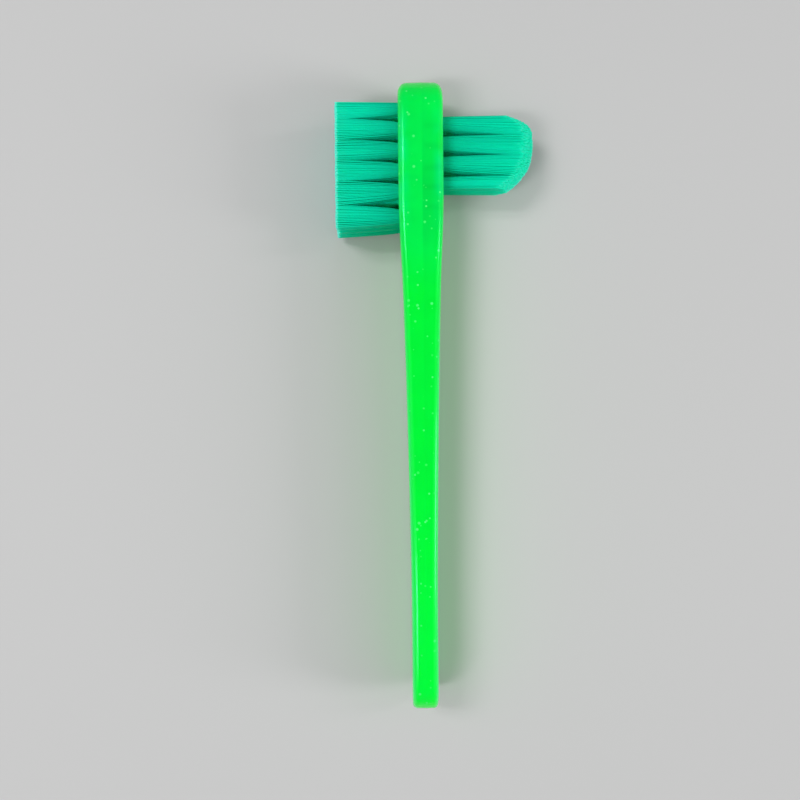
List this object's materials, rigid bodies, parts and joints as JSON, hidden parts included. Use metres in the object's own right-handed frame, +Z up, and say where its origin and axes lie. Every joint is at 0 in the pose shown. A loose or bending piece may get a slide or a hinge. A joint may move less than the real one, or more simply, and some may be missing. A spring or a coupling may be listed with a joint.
{
  "type": "retainer cleaning brush",
  "caption": "Two-sided brush for dental retainers: a clear green handle with a flat-trimmed brush on one side of its head and a domed brush on the other.",
  "frame": {"origin": "middle of the lower narrow edge face, halfway along the handle and halfway through its thickness", "axes": "+Y along the handle from the tail to the head, +X from the handle towards the domed brush, +Z up from the edge that the brush lies on"},
  "size_m": [0.0396, 0.125, 0.014],
  "materials": {
    "handle_plastic": "clear neon green with fine glitter, moulded glossy",
    "bristle_nylon": "teal nylon filament, slightly glossy, with bright cut ends",
    "anchor_wire": "plain flat wire"
  },
  "bodies": {
    "root": {"dome_anchor_1a": "anchor_wire", "dome_anchor_1b": "anchor_wire", "dome_anchor_2a": "anchor_wire", "dome_anchor_2b": "anchor_wire", "dome_anchor_3a": "anchor_wire", "dome_anchor_3b": "anchor_wire", "dome_anchor_4a": "anchor_wire", "dome_anchor_4b": "anchor_wire", "dome_tuft_1a": "bristle_nylon", "dome_tuft_1b": "bristle_nylon", "dome_tuft_2a": "bristle_nylon", "dome_tuft_2b": "bristle_nylon", "dome_tuft_3a": "bristle_nylon", "dome_tuft_3b": "bristle_nylon", "dome_tuft_4a": "bristle_nylon", "dome_tuft_4b": "bristle_nylon", "flat_anchor_1a": "anchor_wire", "flat_anchor_1b": "anchor_wire", "flat_anchor_1c": "anchor_wire", "flat_anchor_2a": "anchor_wire", "flat_anchor_2b": "anchor_wire", "flat_anchor_2c": "anchor_wire", "flat_anchor_3a": "anchor_wire", "flat_anchor_3b": "anchor_wire", "flat_anchor_3c": "anchor_wire", "flat_anchor_4a": "anchor_wire", "flat_anchor_4b": "anchor_wire", "flat_anchor_4c": "anchor_wire", "flat_anchor_5a": "anchor_wire", "flat_anchor_5b": "anchor_wire", "flat_anchor_5c": "anchor_wire", "flat_anchor_6a": "anchor_wire", "flat_anchor_6b": "anchor_wire", "flat_anchor_6c": "anchor_wire", "flat_tuft_1a": "bristle_nylon", "flat_tuft_1b": "bristle_nylon", "flat_tuft_1c": "bristle_nylon", "flat_tuft_2a": "bristle_nylon", "flat_tuft_2b": "bristle_nylon", "flat_tuft_2c": "bristle_nylon", "flat_tuft_3a": "bristle_nylon", "flat_tuft_3b": "bristle_nylon", "flat_tuft_3c": "bristle_nylon", "flat_tuft_4a": "bristle_nylon", "flat_tuft_4b": "bristle_nylon", "flat_tuft_4c": "bristle_nylon", "flat_tuft_5a": "bristle_nylon", "flat_tuft_5b": "bristle_nylon", "flat_tuft_5c": "bristle_nylon", "flat_tuft_6a": "bristle_nylon", "flat_tuft_6b": "bristle_nylon", "flat_tuft_6c": "bristle_nylon", "handle": "handle_plastic"}
  },
  "joints": []
}
